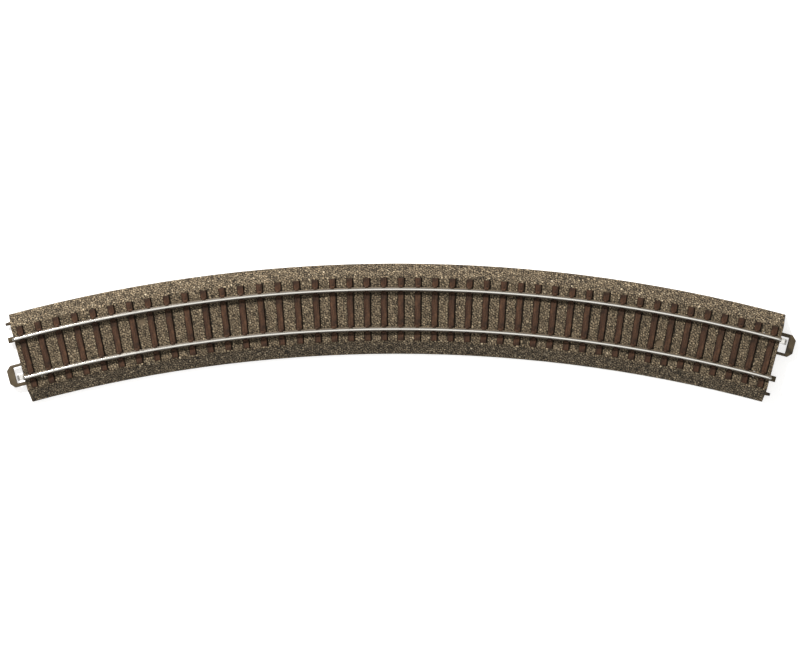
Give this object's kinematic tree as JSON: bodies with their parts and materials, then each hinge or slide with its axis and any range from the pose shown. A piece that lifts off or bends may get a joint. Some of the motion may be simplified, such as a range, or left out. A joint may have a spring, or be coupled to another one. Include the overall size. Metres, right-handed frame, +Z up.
{
  "type": "model track section",
  "caption": "Curved two-rail model railway track section on a moulded ballast roadbed, with sleepers, snap latch loops and sprung rail contacts at both ends.",
  "frame": {"origin": "on the underside plane, on the track centreline, half way along the curve", "axes": "+X along the section at its middle, towards the end whose latch loop is on the outside of the curve; +Y towards the outside of the curve; +Z up"},
  "size_m": [0.3493, 0.0612, 0.0103],
  "materials": {
    "ballast_plastic": "fine grey-brown ballast grain, matt",
    "sleeper_plastic": "dark red-brown wood grain, matt",
    "latch_plastic": "olive-brown moulded plastic, satin",
    "rail_steel": "bright railhead, duller sides",
    "spring_metal": "bright plated spring strip",
    "contact_brass": "plain sheet brass, satin"
  },
  "bodies": {
    "track_bed": {"roadbed": "ballast_plastic", "sleeper_01": "sleeper_plastic", "sleeper_02": "sleeper_plastic", "sleeper_03": "sleeper_plastic", "sleeper_04": "sleeper_plastic", "sleeper_05": "sleeper_plastic", "sleeper_06": "sleeper_plastic", "sleeper_07": "sleeper_plastic", "sleeper_08": "sleeper_plastic", "sleeper_09": "sleeper_plastic", "sleeper_10": "sleeper_plastic", "sleeper_11": "sleeper_plastic", "sleeper_12": "sleeper_plastic", "sleeper_13": "sleeper_plastic", "sleeper_14": "sleeper_plastic", "sleeper_15": "sleeper_plastic", "sleeper_16": "sleeper_plastic", "sleeper_17": "sleeper_plastic", "sleeper_18": "sleeper_plastic", "sleeper_19": "sleeper_plastic", "sleeper_20": "sleeper_plastic", "sleeper_21": "sleeper_plastic", "sleeper_22": "sleeper_plastic", "sleeper_23": "sleeper_plastic", "sleeper_24": "sleeper_plastic", "sleeper_25": "sleeper_plastic", "sleeper_26": "sleeper_plastic", "sleeper_27": "sleeper_plastic", "sleeper_28": "sleeper_plastic", "sleeper_29": "sleeper_plastic", "sleeper_30": "sleeper_plastic", "sleeper_31": "sleeper_plastic", "sleeper_32": "sleeper_plastic", "sleeper_33": "sleeper_plastic", "sleeper_34": "sleeper_plastic", "sleeper_35": "sleeper_plastic", "sleeper_36": "sleeper_plastic", "sleeper_37": "sleeper_plastic", "sleeper_38": "sleeper_plastic", "sleeper_39": "sleeper_plastic", "sleeper_40": "sleeper_plastic", "sleeper_41": "sleeper_plastic", "sleeper_42": "sleeper_plastic", "sleeper_43": "sleeper_plastic", "sleeper_44": "sleeper_plastic", "rail_outer": "rail_steel", "rail_inner": "rail_steel", "rail_bracket_left": "contact_brass", "tab_contact_left": "contact_brass", "rail_bracket_right": "contact_brass", "tab_contact_right": "contact_brass", "feeder_spade_outer": "contact_brass", "feeder_spade_inner": "contact_brass"},
    "latch_left": {"latch_loop_left": "latch_plastic"},
    "tongue_left": {"contact_tongue_left": "spring_metal"},
    "latch_right": {"latch_loop_right": "latch_plastic"},
    "tongue_right": {"contact_tongue_right": "spring_metal"}
  },
  "joints": [
    {"name": "latch_left_flex", "type": "hinge", "parent": "track_bed", "child": "latch_left", "pos_m": [-0.15993, -0.0274, 0.0025], "axis": [0.2588, -0.9659, 0], "range_deg": [0, 7], "stiffness_Nm_per_rad": 0.01},
    {"name": "tongue_left_flex", "type": "hinge", "parent": "track_bed", "child": "tongue_left", "pos_m": [-0.15942, -0.02855, 0.00395], "axis": [-0.2588, 0.9659, 0], "range_deg": [0, 4], "stiffness_Nm_per_rad": 0.002},
    {"name": "latch_right_flex", "type": "hinge", "parent": "track_bed", "child": "latch_right", "pos_m": [0.16356, -0.01388, 0.0025], "axis": [0.2588, 0.9659, 0], "range_deg": [0, 7], "stiffness_Nm_per_rad": 0.01},
    {"name": "tongue_right_flex", "type": "hinge", "parent": "track_bed", "child": "tongue_right", "pos_m": [0.16369, -0.01261, 0.00395], "axis": [-0.2588, -0.9659, 0], "range_deg": [0, 4], "stiffness_Nm_per_rad": 0.002}
  ]
}
